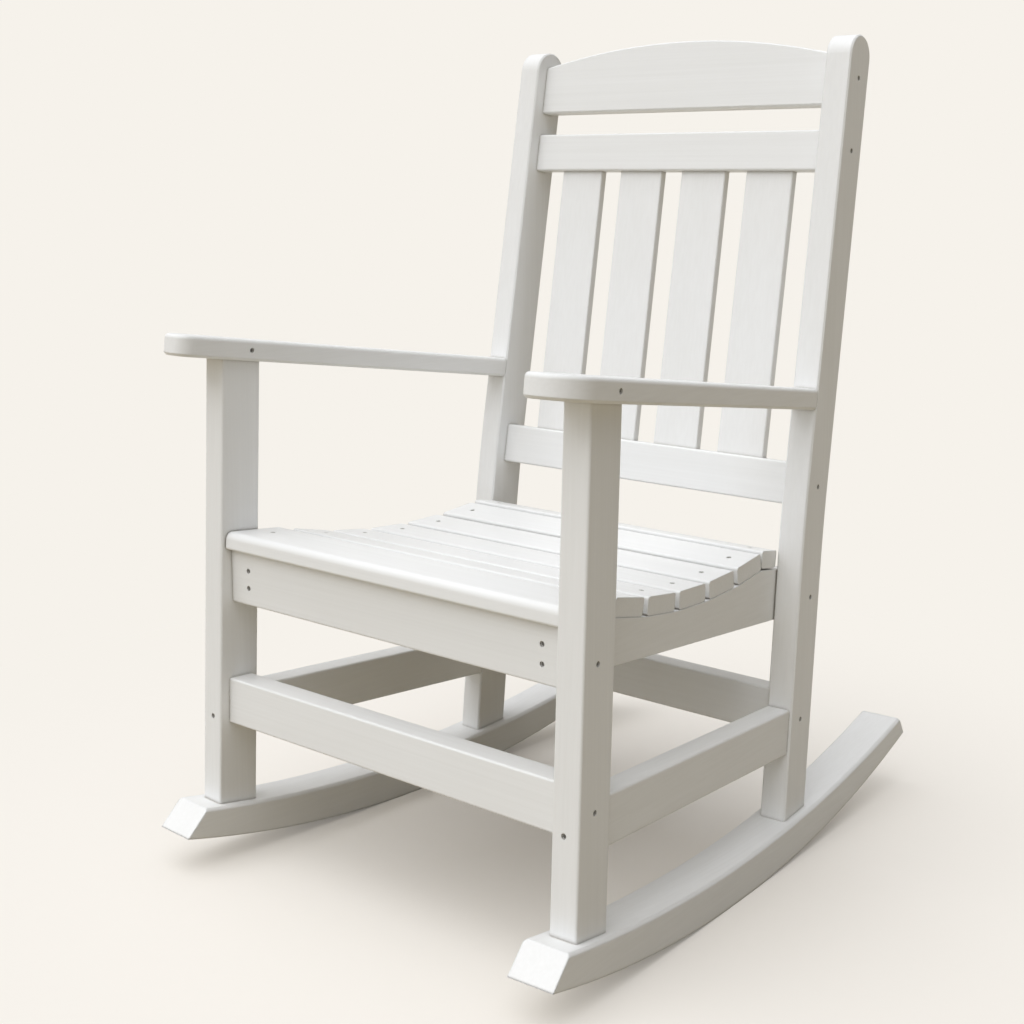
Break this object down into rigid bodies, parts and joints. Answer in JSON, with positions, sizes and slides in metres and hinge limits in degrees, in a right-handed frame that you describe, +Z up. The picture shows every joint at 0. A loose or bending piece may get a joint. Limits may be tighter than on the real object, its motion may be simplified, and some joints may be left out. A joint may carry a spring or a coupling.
{
  "type": "rocking adirondack chair",
  "caption": "Slat-back porch rocking chair in white plastic lumber with flat arms, scooped slatted seat and curved rockers.",
  "frame": {"origin": "on the floor plane, centre of the bounding box in plan", "axes": "+Z up; the chair faces -Y; +X points to the right as seen from the front"},
  "size_m": [0.7054, 0.9351, 1.1344],
  "materials": {
    "lumber": "matte white plastic lumber with a faint brushed grain",
    "screw": "satin stainless steel"
  },
  "bodies": {
    "root": {"rocker_left": "lumber", "front_leg_left": "lumber", "back_post_left": "lumber", "side_stretcher_left": "lumber", "seat_side_rail_left": "lumber", "arm_left": "lumber", "rocker_right": "lumber", "front_leg_right": "lumber", "back_post_right": "lumber", "side_stretcher_right": "lumber", "seat_side_rail_right": "lumber", "arm_right": "lumber", "front_apron": "lumber", "rear_seat_rail": "lumber", "front_stretcher": "lumber", "rear_stretcher": "lumber", "seat_slat_front": "lumber", "seat_slat_1": "lumber", "seat_slat_2": "lumber", "seat_slat_3": "lumber", "seat_slat_4": "lumber", "seat_slat_5": "lumber", "seat_slat_rear": "lumber", "crest_rail": "lumber", "upper_back_rail": "lumber", "lower_back_rail": "lumber", "back_slat_1": "lumber", "back_slat_2": "lumber", "back_slat_3": "lumber", "back_slat_4": "lumber", "apron_screws": "screw", "arm_screws": "screw", "back_rail_screws": "screw", "seat_frame_screws": "screw", "seat_slat_screws": "screw", "side_stretcher_screws": "screw", "stretcher_screws": "screw"}
  },
  "joints": []
}
